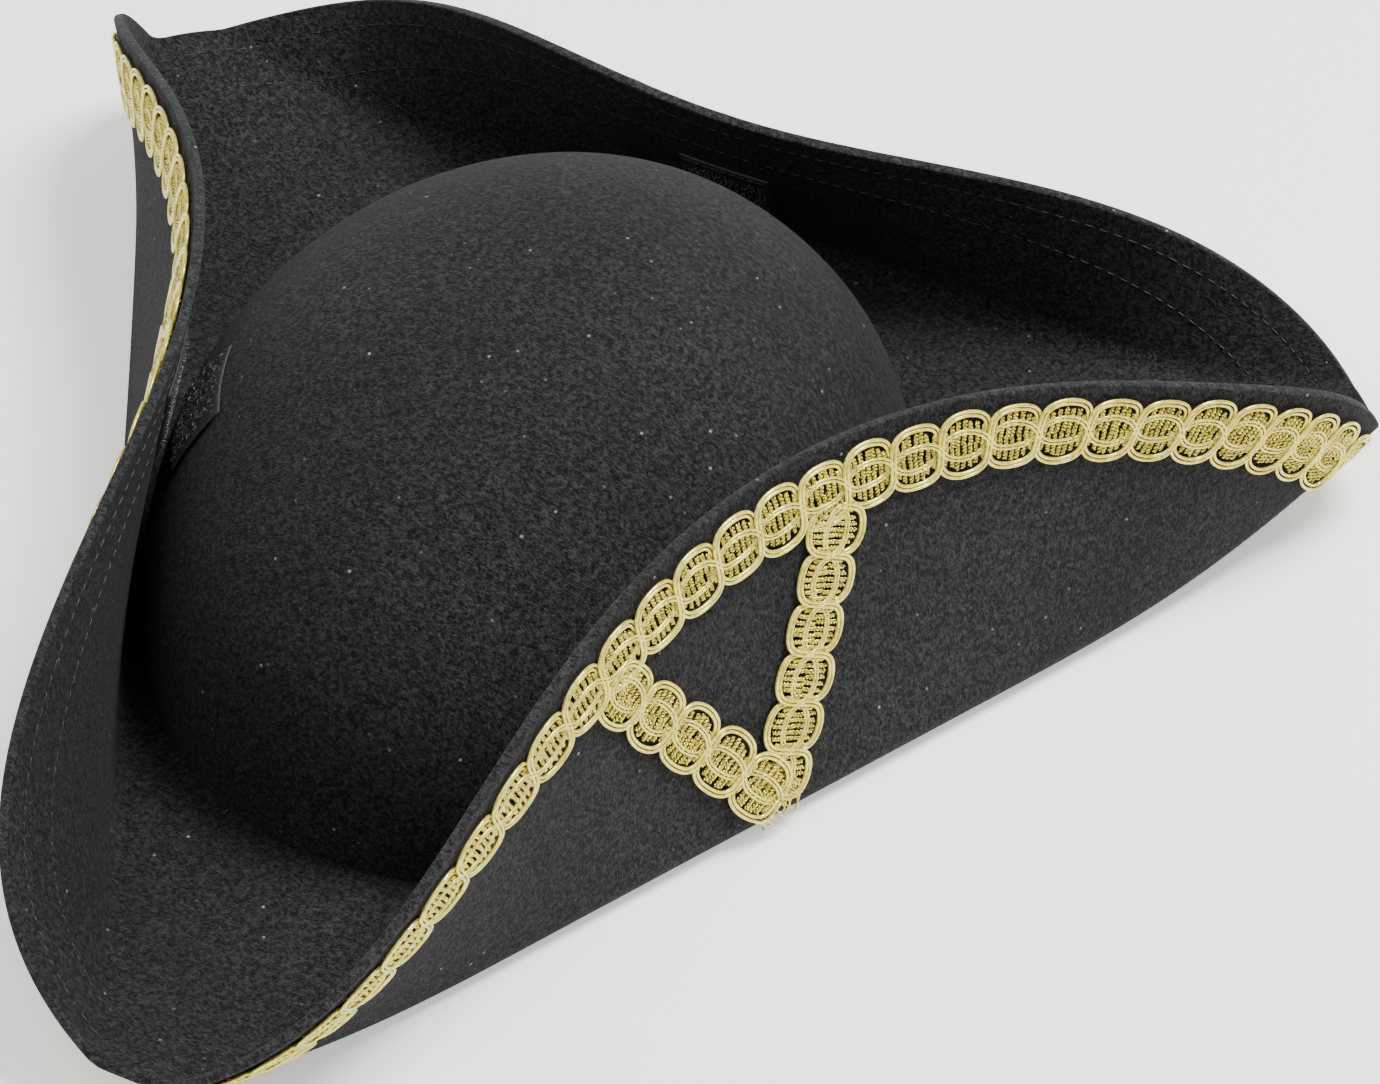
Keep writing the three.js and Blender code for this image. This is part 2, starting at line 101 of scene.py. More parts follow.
def soft_box(name, place, aim, size, power):
    light = bpy.data.lights.new(name, "AREA")
    light.shape = "DISK"
    light.size = size
    light.energy = power
    lamp = bpy.data.objects.new(name, light)
    lamp.location = place
    lamp.rotation_euler = (Vector(aim) - Vector(place)).to_track_quat("-Z", "Y").to_euler()
    bpy.context.collection.objects.link(lamp)


soft_box("key_soft_box", (0.45, 0.35, 1.25), (0, 0, 0.04), 0.6, 34)
soft_box("fill_soft_box", (-0.1, -0.6, 1.4), (0, 0, 0.04), 0.8, 7)

room = bpy.data.worlds.new("white_room")
room.use_nodes = True
room.node_tree.nodes["Background"].inputs["Color"].default_value = (1, 1, 1, 1)
room.node_tree.nodes["Background"].inputs["Strength"].default_value = 0.5
bpy.context.scene.world = room

table_top = bpy.data.materials.new("white_table")
table_top.use_nodes = True
table_face = table_top.node_tree.nodes["Principled BSDF"]
table_face.inputs["Base Color"].default_value = WHITE
table_face.inputs["Roughness"].default_value = 0.9
table_face.inputs["Emission Color"].default_value = (1, 1, 1, 1)
table_face.inputs["Emission Strength"].default_value = 0.6

TABLE_HALF = 6.0
table_corners = [(x * TABLE_HALF, y * TABLE_HALF, 0) for x, y in ((-1, -1), (1, -1), (1, 1), (-1, 1))]
sweep_mesh = bpy.data.meshes.new("white_table")
sweep_mesh.from_pydata(table_corners, [], [(0, 1, 2, 3)])
sweep_mesh.materials.append(table_top)
table = bpy.data.objects.new("white_table", sweep_mesh)
table.location.z = cad_box[0][2] - 0.0002
bpy.context.collection.objects.link(table)

# ==== Felt crown ====
# A dome of black wool felt, steamed over a block. Its foot meets the brim in a crisp crease and
# has no band round it. The nap is short and catches the light a cool grey.
FELT = 2.5 * MM
CROWN_HALF_WIDTH = 90.5 * MM
CROWN_HALF_LENGTH = 105 * MM
CROWN_HEIGHT = 93.5 * MM
CROWN_FULLNESS = 2.25
LENGTHEN = CROWN_HALF_LENGTH / CROWN_HALF_WIDTH
CROWN_AROUND = 360
CROWN_UP = 110


def new_material(name):
    material = bpy.data.materials.new(name)
    material.use_nodes = True
    nodes = material.node_tree.nodes
    return material, nodes, material.node_tree.links, nodes["Principled BSDF"]


def noise(nodes, links, where, scale, detail, rough=0.6):
    texture = nodes.new("ShaderNodeTexNoise")
    texture.inputs["Scale"].default_value = scale
    texture.inputs["Detail"].default_value = detail
    texture.inputs["Roughness"].default_value = rough
    links.new(where, texture.inputs["Vector"])
    return texture.outputs["Fac"]


def ramp(nodes, links, value, stops):
    shades = nodes.new("ShaderNodeValToRGB")
    while len(shades.color_ramp.elements) < len(stops):
        shades.color_ramp.elements.new(0.5)
    for element, (place, colour) in zip(shades.color_ramp.elements, stops):
        element.position = place
        element.color = (*colour, 1)
    links.new(value, shades.inputs["Fac"])
    return shades.outputs["Color"]


def combine(nodes, links, how, first, second, factor=1.0):
    mixer = nodes.new("ShaderNodeMix")
    mixer.data_type = "RGBA"
    mixer.blend_type = how
    if isinstance(factor, float):
        mixer.inputs["Factor"].default_value = factor
    else:
        links.new(factor, mixer.inputs["Factor"])
    links.new(first, mixer.inputs["A"])
    links.new(second, mixer.inputs["B"])
    return mixer.outputs["Result"]


def felt_material(name, dark, light, sheen):
    """Pressed wool: mottled black, matted fibres in the relief, and a little pale lint."""
    material, nodes, links, surface = new_material(name)
    where = nodes.new("ShaderNodeTexCoord").outputs["Object"]
    # fibres lie in short crossing strokes, so the fine noise is stretched two ways
    strokes = []
    for turn in (0.5, 2.2):
        mapping = nodes.new("ShaderNodeMapping")
        mapping.inputs["Rotation"].default_value = (turn, 0.4 * turn, turn * 1.7)
        mapping.inputs["Scale"].default_value = (1, 2.6, 1)
        links.new(where, mapping.inputs["Vector"])
        strokes.append(noise(nodes, links, mapping.outputs["Vector"], 900, 2, 0.75))
    fibres = nodes.new("ShaderNodeMath")
    fibres.operation = "MAXIMUM"
    links.new(strokes[0], fibres.inputs[0])
    links.new(strokes[1], fibres.inputs[1])
    clumps = noise(nodes, links, where, 700, 5, 0.8)
    patches = noise(nodes, links, where, 16, 3)
    mixed = combine(
        nodes, links, "MIX",
        ramp(nodes, links, fibres.outputs[0], [(0.52, dark), (0.66, light)]),
        ramp(nodes, links, clumps, [(0.45, dark), (0.62, light)]),
        0.5,
    )
    shaded = combine(
        nodes, links, "MULTIPLY", mixed,
        ramp(nodes, links, patches, [(0.3, (0.78, 0.78, 0.8)), (0.7, (1.15, 1.15, 1.12))]),
    )
    # lint: a speck in a few of the cells of a fine cellular pattern
    cells = nodes.new("ShaderNodeTexVoronoi")
    cells.inputs["Scale"].default_value = 260
    links.new(where, cells.inputs["Vector"])
    speck = ramp(nodes, links, cells.outputs["Distance"], [(0.05, (1, 1, 1)), (0.13, (0, 0, 0))])
    chosen = ramp(nodes, links, cells.outputs["Color"], [(0.66, (0, 0, 0)), (0.95, (0.30, 0.30, 0.31))])
    lint = combine(nodes, links, "MULTIPLY", speck, chosen)
    links.new(combine(nodes, links, "ADD", shaded, lint), surface.inputs["Base Color"])
    relief = nodes.new("ShaderNodeMath")
    relief.operation = "ADD"
    links.new(fibres.outputs[0], relief.inputs[0])
    links.new(clumps, relief.inputs[1])
    bump = nodes.new("ShaderNodeBump")
    bump.inputs["Strength"].default_value = 0.9
    bump.inputs["Distance"].default_value = 0.0005
    links.new(relief.outputs[0], bump.inputs["Height"])
    links.new(bump.outputs["Normal"], surface.inputs["Normal"])
    surface.inputs["Roughness"].default_value = 0.92
    surface.inputs["Specular IOR Level"].default_value = 0.18
    surface.inputs["Sheen Weight"].default_value = sheen
    surface.inputs["Sheen Roughness"].default_value = 0.45
    surface.inputs["Sheen Tint"].default_value = (0.86, 0.88, 0.94, 1)
    return material


black_felt = felt_material("black_felt", (0.0015, 0.0015, 0.0016), (0.046, 0.0455, 0.047), 0.03)


def add_piece(name, points, faces, materials, sharp=None):
    """A new object from its points and faces, smooth except where faces meet sharply."""
    mesh = bpy.data.meshes.new(name)
    mesh.from_pydata(np.asarray(points).tolist(), [], faces)
    for material in materials:
        mesh.materials.append(material)
    mesh.shade_smooth()
    if sharp:
        mesh.set_sharp_from_angle(angle=radians(sharp))
    mesh.update()
    piece = bpy.data.objects.new(name, mesh)
    bpy.context.collection.objects.link(piece)
    return piece


def uneven(x, y, z=0.0):
    """Slow swells of hand-shaped felt, between about -1 and 1, the same wherever pieces meet."""
    return (
        np.sin(31 * x + 17 * y + 1.3) * 0.4
        + np.sin(-23 * x + 41 * y + 29 * z + 4.1) * 0.35
        + np.sin(67 * x - 38 * y - 44 * z + 2.2) * 0.25
    )


def dome_half_width(half_width, height, z):
    share = np.clip(z / height, 0, 1)
    return half_width * (1 - share ** CROWN_FULLNESS) ** (1 / CROWN_FULLNESS)


def dome(half_width, height, foot, swell):
    """Rings of a dome from its foot to just short of its top, and the top point."""
    start = np.arcsin((foot / height) ** (CROWN_FULLNESS / 2))
    turned = np.linspace(start, pi / 2, CROWN_UP + 1)[:-1]
    z = height * np.sin(turned) ** (2 / CROWN_FULLNESS)
    half = dome_half_width(half_width, height, z)
    around = np.linspace(0, 2 * pi, CROWN_AROUND, endpoint=False)
    x = half[:, None] * np.cos(around)
    y = half[:, None] * np.sin(around) * LENGTHEN
    level_z = np.repeat(z[:, None], CROWN_AROUND, axis=1)
    fade = np.clip((level_z - foot) / (12 * MM), 0, 1)
    grown = 1 + swell * fade * uneven(x, y, level_z) / CROWN_HALF_WIDTH
    rings = np.stack([x * grown, y * grown, level_z * (1 + 0.5 * (grown - 1))], axis=-1)
    return rings.reshape(-1, 3), np.array([[0, 0, height]])


CROWN_SWELL = 0.7 * MM
shell_points = []
shell_faces = []
for half_width, height, inner in (
    (CROWN_HALF_WIDTH, CROWN_HEIGHT, False),
    (CROWN_HALF_WIDTH - FELT, CROWN_HEIGHT - FELT, True),
):
    rings, top = dome(half_width, height, FELT, CROWN_SWELL)
    first = sum(len(part) for part in shell_points)
    shell_points += [rings, top]
    last = first + len(rings)
    for j in range(CROWN_UP):
        for i in range(CROWN_AROUND):
            a = first + j * CROWN_AROUND + i
            b = first + j * CROWN_AROUND + (i + 1) % CROWN_AROUND
            if j == CROWN_UP - 1:
                face = (a, b, last)
            else:
                face = (a, b, b + CROWN_AROUND, a + CROWN_AROUND)
            shell_faces.append(face[::-1] if inner else face)
inner_foot = CROWN_AROUND * CROWN_UP + 1
for i in range(CROWN_AROUND):
    nxt = (i + 1) % CROWN_AROUND
    shell_faces.append((i, inner_foot + i, inner_foot + nxt, nxt))
crown = add_piece("felt_crown", np.vstack(shell_points), shell_faces, [black_felt], 40)
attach(crown, "root")
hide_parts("crown")

# ==== Felt brim ====
# One disc of the same felt, cut slightly three-cornered, with its two front sides and its back
# steamed up along straight folds. It is made here in nine lengths that meet edge to edge, three
# to a side.
BLANK_HALF_WIDTH = 194.5 * MM
BLANK_HALF_LENGTH = 186.5 * MM
BLANK_SHIFT = 6 * MM
BLANK_CORNERS = 0.038
SIDE_TURN = radians(28)
SIDE_RADIUS = 4.8 * MM
BACK_LEDGE = 19.7 * MM
BACK_RADIUS = 6.5 * MM
FRONT_SPOUT_LIFT = 16 * MM
REAR_SPOUT_LIFT = 18 * MM
FRONT_SPOUT_SPREAD = 22
REAR_SPOUT_SPREAD = 18
REAR_SPOUT_AT = 32
SPOUT_START = 118 * MM
FLAT_RUN = 60 * MM
BRIM_SWELL = 0.45 * MM
BRIM_COLUMNS = 70
BRIM_ROWS = 96
ROW_PULL = 0.3
FOLD_SHARE = 0.22
EDGE_ROWS = 9
EDGE_ROUND = 0.7 * MM
EDGE_FULLNESS = 0.7
SEARCH_STEPS = 44
STEP = 0.05 * MM
SIDE_LEAN = 104.6
SIDE_LEAN_REARWARD = 12
SIDE_LEAN_FLARE = -17
BACK_LEAN = 111
BACK_LEAN_FLARE = -33


def side_lean(u):
    """How far a front side is turned up, from the distance along its fold."""
    hundreds = u / (100 * MM)
    return np.radians(SIDE_LEAN + SIDE_LEAN_REARWARD * hundreds + SIDE_LEAN_FLARE * hundreds ** 2)


def back_lean(u):
    return np.radians(BACK_LEAN + BACK_LEAN_FLARE * (u / (100 * MM)) ** 2)


class Side:
    """One turned-up side: the way it faces, the line along its fold, and how it bends there."""

    def __init__(self, name, facing, along, ledge, radius, lean):
        self.name = name
        self.body = f"{name}_side"
        self.facing = np.array(facing)
        self.along = np.array(along)
        self.fold = float(np.hypot(CROWN_HALF_WIDTH * facing[0], CROWN_HALF_LENGTH * facing[1])) + ledge
        self.radius = radius
        self.lean = lean

    def flat(self, u, v):
        """Place in the flat blank from distance along the fold and distance across it."""
        return (
            self.along[0] * u + self.facing[0] * v,
            self.along[1] * u + self.facing[1] * v,
        )


turn_x, turn_y = cos(SIDE_TURN), sin(SIDE_TURN)
RIGHT = Side("right", (turn_x, -turn_y), (turn_y, turn_x), 0, SIDE_RADIUS, side_lean)
LEFT = Side("left", (-turn_x, -turn_y), (-turn_y, turn_x), 0, SIDE_RADIUS, side_lean)
BACK = Side("back", (0.0, 1.0), (1.0, 0.0), BACK_LEDGE, BACK_RADIUS, back_lean)
SIDES = (RIGHT, BACK, LEFT)


def spout_lift(x, y):
    """How much higher the brim lies at its three corners, which the folds squeeze into spouts."""
    far = np.hypot(x, y)
    rise = np.clip((far - SPOUT_START) / (BLANK_HALF_WIDTH - SPOUT_START), 0, None) ** 2
    front = np.degrees(np.arctan2(np.abs(x), -y))
    rear = np.degrees(np.arctan2(y, np.abs(x))) - REAR_SPOUT_AT
    return rise * (
        FRONT_SPOUT_LIFT * np.exp(-((front / FRONT_SPOUT_SPREAD) ** 2))
        + REAR_SPOUT_LIFT * np.exp(-((rear / REAR_SPOUT_SPREAD) ** 2))
    )


def folded(x, y):
    """Carries places of the flat blank into the folded brim, in the middle of the felt."""
    point = np.stack([x, y, FELT / 2 + spout_lift(x, y)], axis=-1)
    for side in SIDES:
        u = x * side.along[0] + y * side.along[1]
        past = np.clip(x * side.facing[0] + y * side.facing[1] - side.fold, 0, None)
        bend = np.minimum(past / side.radius, side.lean(u))
        straight = past - side.radius * bend
        out = side.radius * np.sin(bend) + straight * np.cos(bend) - past
        point[..., 0] += side.facing[0] * out
        point[..., 1] += side.facing[1] * out
        point[..., 2] += side.radius * (1 - np.cos(bend)) + straight * np.sin(bend)
    return point


def unit(vectors):
    return vectors / np.linalg.norm(vectors, axis=-1, keepdims=True)


def inward(x, y):
    """The way the brim's upper, inner face looks at places of the blank."""
    dx = folded(x + STEP, y) - folded(x - STEP, y)
    dy = folded(x, y + STEP) - folded(x, y - STEP)
    return unit(np.cross(dx, dy))


def on_brim(x, y, height):
    """A point above (or, below zero, beneath) the middle of the felt, with its slow swells."""
    far = np.hypot(x, y)
    fade = np.clip((far - SPOUT_START * 0.85) / (30 * MM), 0, 1)
    lift = height + BRIM_SWELL * fade * uneven(x, y)
    return folded(x, y) + inward(x, y) * np.asarray(lift)[..., None]


def inside_blank(x, y):
    swell = 1 + BLANK_CORNERS * np.cos(3 * (np.arctan2(y - BLANK_SHIFT, x) + pi / 2))
    return np.hypot(x / BLANK_HALF_WIDTH, (y - BLANK_SHIFT) / BLANK_HALF_LENGTH) < swell


def inside_opening(x, y):
    half = CROWN_HALF_WIDTH - FELT
    return np.hypot(x / half, y / (half * LENGTHEN)) < 1


def farthest(test, x, y, dx, dy):
    """Distance from places, in given directions, for which a test still holds."""
    near = np.zeros(np.broadcast(x, dx).shape)
    far = near + 2 * BLANK_HALF_WIDTH
    for _ in range(SEARCH_STEPS):
        half = (near + far) / 2
        holds = test(x + dx * half, y + dy * half)
        near = np.where(holds, half, near)
        far = np.where(holds, far, half)
    return near


def edge_distance(angle):
    return farthest(inside_blank, 0.0, 0.0, np.cos(angle), np.sin(angle))


def brim_rows():
    """Shares from opening to edge, closest together round the bend."""
    even = np.linspace(0, 1, BRIM_ROWS)
    pull = ROW_PULL * np.sin(2 * pi * (even - FOLD_SHARE)) / (2 * pi)
    return np.clip(even - pull * np.sin(pi * even) ** 0.5, 0, 1)


def felt_length(name, near, far):
    """A length of brim between two cuts. near and far are the flat places of its columns' ends."""
    share = brim_rows()
    rows_x = near[0][:, None] + (far[0] - near[0])[:, None] * share
    rows_y = near[1][:, None] + (far[1] - near[1])[:, None] * share
    # the cut edge is rounded over half the felt's thickness
    round_by = np.linspace(0, pi, EDGE_ROWS + 2)[1:-1]
    heights = FELT / 2 * np.sign(np.cos(round_by)) * np.abs(np.cos(round_by)) ** EDGE_FULLNESS
    heights[EDGE_ROWS // 2] = 0
    beyond = EDGE_ROUND * np.sin(round_by) ** EDGE_FULLNESS
    way = unit(np.stack([far[0] - near[0], far[1] - near[1]], axis=-1))
    edge_x = far[0][:, None] + way[:, :1] * beyond
    edge_y = far[1][:, None] + way[:, 1:] * beyond
    x = np.hstack([rows_x, edge_x, rows_x[:, ::-1]])
    y = np.hstack([rows_y, edge_y, rows_y[:, ::-1]])
    face = np.full(BRIM_ROWS, FELT / 2)
    height = np.concatenate([face, heights, -face])
    points = on_brim(x, y, np.broadcast_to(height, x.shape))
    columns, ring = x.shape
    at = np.arange(columns * ring).reshape(columns, ring)
    nxt = np.roll(at, -1, axis=1)
    quads = np.stack([at[:-1], at[1:], nxt[1:], nxt[:-1]], axis=-1).reshape(-1, 4)
    faces = quads.tolist()
    for column, turned in ((at[0], False), (at[-1], True)):
        for j in range(BRIM_ROWS - 1):
            ladder = [column[j], column[j + 1], column[ring - 2 - j], column[ring - 1 - j]]
            faces.append([int(k) for k in (ladder[::-1] if turned else ladder)])
        tip = [int(k) for k in column[BRIM_ROWS - 1:ring - BRIM_ROWS + 1]]
        faces.append(tip[::-1] if turned else tip)
    piece = add_piece(name, points.reshape(-1, 3), faces, [black_felt, edge_highlight_felt], 50)
    # the rounded edge gets a lighter felt: a painted highlight along the cut, with a little more sheen
    # for its loose fibres
    spans = np.arange(ring)
    is_edge = (spans >= BRIM_ROWS) & (spans < BRIM_ROWS + EDGE_ROWS - 1)
    marks = np.zeros(len(faces), dtype=np.int32)
    marks[:len(quads)] = np.tile(is_edge, columns - 1)
    piece.data.polygons.foreach_set("material_index", marks)
    # flat area by the strips between its columns
    strip = np.abs(
        (far[0][1:] - near[0][:-1]) * (far[1][:-1] - near[1][1:])
        - (far[1][1:] - near[1][:-1]) * (far[0][:-1] - near[0][1:])
    ) / 2
    corners = np.stack([np.concatenate([near[0], far[0]]), np.concatenate([near[1], far[1]])])
    return piece, float(strip.sum()), corners


# felt for the rounded cut edge, lighter in colour: a painted highlight along the edge
edge_highlight_felt = felt_material("felt_edge_painted_highlight", (0.004, 0.004, 0.0042), (0.058, 0.058, 0.06), 0.08)

OUTER_CUTS = {
    "right": (("front", -1, -90.0), ("rear", 1, 32.0)),
    "back": (("right", 1, 32.0), ("left", -1, 148.0)),
    "left": (("front", -1, 270.0), ("rear", 1, 148.0)),
}


def across_fold(side, points):
    """Share of the way through a side's bend, in its middle: 0 where it starts, 1 where it ends."""
    lean = float(side.lean(0.0))
    run = side.radius * sin(lean)
    rise = side.radius * (1 - cos(lean))
    slope = np.array([side.facing[0] * run, side.facing[1] * run, rise]) / (run ** 2 + rise ** 2)
    start = np.array([side.facing[0] * side.fold, side.facing[1] * side.fold, FELT / 2])
    return start, slope, (points - start) @ slope


for side in SIDES:
    start, slope, _ = across_fold(side, np.zeros((1, 3)))
    for end, way, corner in OUTER_CUTS[side.name]:
        corner = radians(corner)
        rim = float(edge_distance(corner))
        down = np.linspace(SPOUT_START, rim + MM, 60)
        line = folded(down * cos(corner), down * sin(corner))
        _, _, share = across_fold(side, line)


def bend_with(piece):
    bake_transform(piece)


for side in SIDES:
    u = np.linspace(-FLAT_RUN, FLAT_RUN, BRIM_COLUMNS)
    x, y = side.flat(u, 0)
    near_v = farthest(inside_opening, x, y, side.facing[0], side.facing[1])
    far_v = farthest(inside_blank, x, y, side.facing[0], side.facing[1])
    lengths = {"middle": (side.flat(u, near_v), side.flat(u, far_v))}
    for end, way, corner in OUTER_CUTS[side.name]:
        row = BRIM_COLUMNS - 1 if way > 0 else 0
        begins = [np.arctan2(p[1][row], p[0][row]) for p in lengths["middle"]]
        stops = [b + (radians(corner) - b + pi) % (2 * pi) - pi for b in begins]
        ends = []
        for b, s, test in zip(begins, stops, (inside_opening, inside_blank)):
            angle = np.linspace(b, s, BRIM_COLUMNS)
            far = farthest(test, 0.0, 0.0, np.cos(angle), np.sin(angle))
            ends.append((far * np.cos(angle), far * np.sin(angle)))
        lengths[end] = tuple(ends)
    for part, (near, far) in lengths.items():
        piece, area, corners = felt_length(f"felt_brim_{side.name}_{part}", near, far)
        bend_with(piece)
        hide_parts(side.body if part == "middle" else "brim_base")

# ==== Gold braid along the edge ====
# Woven metallic gimp, 17 mm wide, sewn flat to the outer face 2 mm inside the cut edge. Two pairs
# of round cords swing from edge to edge and cross at every 12.8 mm, making the scallops; finer
# arches run down the middle, and twisted lurex ribs fill each scallop.
BRAID_WIDTH = 17 * MM
BRAID_INSET = 2 * MM
BRAID_PITCH = 12.8 * MM
CORD_RADIUS = 0.43 * MM
CORD_PAIR = 0.98 * MM
BRAID_FLOAT = 0.75 * MM
CORD_LIFT = 0.42 * MM
ARCH_REACH = 3.1 * MM
ARCH_APART = 0.4 * MM
ARCH_RADIUS = 0.33 * MM
RIBS = 7
RIB_RADIUS = 0.34 * MM
RIB_TURNS = 3.4


def metal_thread(name, deep, pale, metallic, roughness, scale):
    """Polyester core wrapped in gilt foil: broken highlights along the wrap."""
    material, nodes, links, surface = new_material(name)
    where = nodes.new("ShaderNodeTexCoord").outputs["Object"]
    glints = noise(nodes, links, where, scale, 3, 0.7)
    broad = noise(nodes, links, where, 90, 2)
    tone = combine(
        nodes, links, "MULTIPLY",
        ramp(nodes, links, glints, [(0.36, deep), (0.62, pale)]),
        ramp(nodes, links, broad, [(0.3, (0.86, 0.83, 0.76)), (0.65, (1.0, 1.0, 1.0))]),
    )
    links.new(tone, surface.inputs["Base Color"])
    bump = nodes.new("ShaderNodeBump")
    bump.inputs["Strength"].default_value = 0.5
    bump.inputs["Distance"].default_value = 0.00018
    links.new(glints, bump.inputs["Height"])
    links.new(bump.outputs["Normal"], surface.inputs["Normal"])
    surface.inputs["Metallic"].default_value = metallic
    surface.inputs["Roughness"].default_value = roughness
    return material


gold_cord = metal_thread("pale_gold_cord", (0.66, 0.52, 0.05), (1.0, 0.93, 0.26), 0.55, 0.22, 900)
lurex_rib = metal_thread("gold_lurex_rib", (0.26, 0.18, 0.02), (1.0, 0.90, 0.18), 0.75, 0.2, 1500)


def tubes(paths, out, radius, sides):
    """Closed round cords. paths is (cords, points, xyz) and out a direction away from the felt."""
    along = unit(np.gradient(paths, axis=1))
    across = unit(np.cross(along, out))
    up = np.cross(across, along)
    turn = 2 * pi * np.arange(sides) / sides
    radius = np.broadcast_to(radius, paths.shape[:2])[..., None, None]
    ring = across[:, :, None] * np.cos(turn)[:, None] + up[:, :, None] * np.sin(turn)[:, None]
    points = paths[:, :, None] + ring * radius
    cords, count = paths.shape[:2]
    at = np.arange(cords * count * sides).reshape(cords, count, sides)
    nxt = np.roll(at, -1, axis=2)
    quads = np.stack([at[:, :-1], nxt[:, :-1], nxt[:, 1:], at[:, 1:]], axis=-1).reshape(-1, 4)
    caps = np.concatenate([at[:, 0, ::-1], at[:, -1]])
    return points.reshape(-1, 3), quads.tolist() + caps.tolist()


class Bundle:
    """Collects cords of several thicknesses and materials into one piece."""

    def __init__(self):
        self.points = []
        self.faces = []
        self.marks = []
        self.count = 0

    def add(self, points, faces, mark):
        self.points.append(points)
        self.faces += [[k + self.count for k in face] for face in faces]
        self.marks += [mark] * len(faces)
        self.count += len(points)

    def piece(self, name, materials):
        made = add_piece(name, np.vstack(self.points), self.faces, materials)
        made.data.polygons.foreach_set("material_index", self.marks)
        return made


def swing(turned, half):
    """Path of a swinging cord: steep where it crosses the middle and flat along the edge."""
    s = (turned - 0.42 * np.sin(2 * turned)) / pi * BRAID_PITCH
    w = half * np.sign(np.sin(turned)) * np.abs(np.sin(turned)) ** 0.62
    return s, w


def beside(s, w, shift):
    """The same path moved sideways in the plane of the braid."""
    ds, dw = np.gradient(s), np.gradient(w)
    length = np.hypot(ds, dw) + 1e-12
    return s - dw / length * shift, w + ds / length * shift


def weave(bundle, place, first, last, rng):
    """Weaves the cells from first to last. place carries (along, across, height) on to the felt."""
    lay = BRAID_FLOAT
    outer = BRAID_WIDTH / 2 - CORD_RADIUS - CORD_PAIR / 2
    paths, outs = [], []
    turned = np.linspace(first * pi, last * pi, (last - first) * 30 + 1)
    knots = np.arange(first, last + 1) + 0.5
    for sign in (1, -1):
        slack = np.interp(turned / pi, knots, rng.uniform(0.93, 1.03, len(knots)))
        s, w = swing(turned, outer * slack)
        for shift in (-CORD_PAIR / 2, CORD_PAIR / 2):
            s2, w2 = beside(s, sign * w, shift)
            h = lay + CORD_LIFT * sign * np.cos(turned) * np.abs(np.cos(turned))
            point, out = place(s2, w2, h + 0.28 * MM)
            paths.append(point)
            outs.append(out)
    bundle.add(*tubes(np.array(paths), np.array(outs), CORD_RADIUS, 7), 0)
    paths, outs = [], []
    turned = np.linspace(first * pi, last * pi, (last - first) * 20 + 1)
    for sign in (1, -1):
        slack = np.interp(turned / pi, knots, rng.uniform(0.75, 1.2, len(knots)))
        s = (turned - 0.25 * np.sin(2 * turned)) / pi * BRAID_PITCH
        w = sign * ARCH_REACH * slack * np.sin(turned)
        for shift in (-ARCH_APART, ARCH_APART):
            s2, w2 = beside(s, w, shift)
            h = lay + 0.5 * MM - 0.3 * MM * sign * np.cos(turned)
            point, out = place(s2, w2, h)
            paths.append(point)
            outs.append(out)
    bundle.add(*tubes(np.array(paths), np.array(outs), ARCH_RADIUS, 6), 0)
    # ribs: two plies twisted together, lying across the braid
    t = np.linspace(0, 1, 19)
    cells = np.arange(first, last)
    paths, outs = [], []
    for cell in cells:
        for row in (1, -1):
            for rib in range(RIBS):
                middle = (cell + 0.06 + 0.88 * (rib + 0.5) / RIBS) * BRAID_PITCH
                middle += rng.uniform(-0.15, 0.15) * MM
                loop_height = np.sin(pi * (rib + 0.9) / (RIBS + 0.8)) ** 0.4
                top = (outer - 1.5 * MM) * loop_height + rng.uniform(-0.35, 0.3) * MM
                foot = rng.uniform(-0.5, 0.3) * MM
                lean = rng.uniform(-0.7, 0.7) * MM
                phase = rng.uniform(0, 2 * pi)
                for ply in (0, pi):
                    twist = phase + ply + t * 2 * pi * RIB_TURNS
                    s = middle + lean * (t - 0.5) + 0.38 * MM * np.cos(twist)
                    w = row * (foot + (top - foot) * t)
                    h = lay - 0.1 * MM + 0.36 * MM * np.sin(twist) + 0.25 * MM * np.sin(pi * t)
                    point, out = place(s, w, h)
                    paths.append(point)
                    outs.append(out)
    bundle.add(*tubes(np.array(paths), np.array(outs), RIB_RADIUS, 5), 1)


# the braid's middle line, followed round the whole edge
ROUND = 4800
angle = np.linspace(-pi / 2, 3 * pi / 2, ROUND + 1)
rim_far = edge_distance(angle)
rim = np.stack([rim_far * np.cos(angle), rim_far * np.sin(angle)], axis=-1)
rim_way = unit(np.gradient(rim, axis=0))
rim_way[0] = rim_way[-1] = unit((rim[1] - rim[-2])[None])[0]
rim_in = np.stack([-rim_way[:, 1], rim_way[:, 0]], axis=-1)
line = rim + rim_in * (BRAID_INSET + BRAID_WIDTH / 2)
steps = np.linalg.norm(np.diff(line, axis=0), axis=1)
line_at = np.concatenate([[0], np.cumsum(steps)])
CELLS = 2 * round(line_at[-1] / BRAID_PITCH / 2)
stretch = line_at[-1] / (CELLS * BRAID_PITCH)


def edge_place(s, w):
    """Flat places along the braid's middle line, w of them nearer the brim's edge."""
    far = (s * stretch) % line_at[-1]
    nx = np.interp(far, line_at, rim_in[:, 0])
    ny = np.interp(far, line_at, rim_in[:, 1])
    return (
        np.interp(far, line_at, line[:, 0]) - nx * w,
        np.interp(far, line_at, line[:, 1]) - ny * w,
    )


def along_edge(s, w, h):
    """Places of the edge braid, h away from the brim's outer face."""
    x, y = edge_place(s, w)
    return on_brim(x, y, -FELT / 2 - h), -inward(x, y)


def cell_at(degrees):
    far = np.interp(radians(degrees), angle, line_at)
    return round(float(far / stretch / BRAID_PITCH))


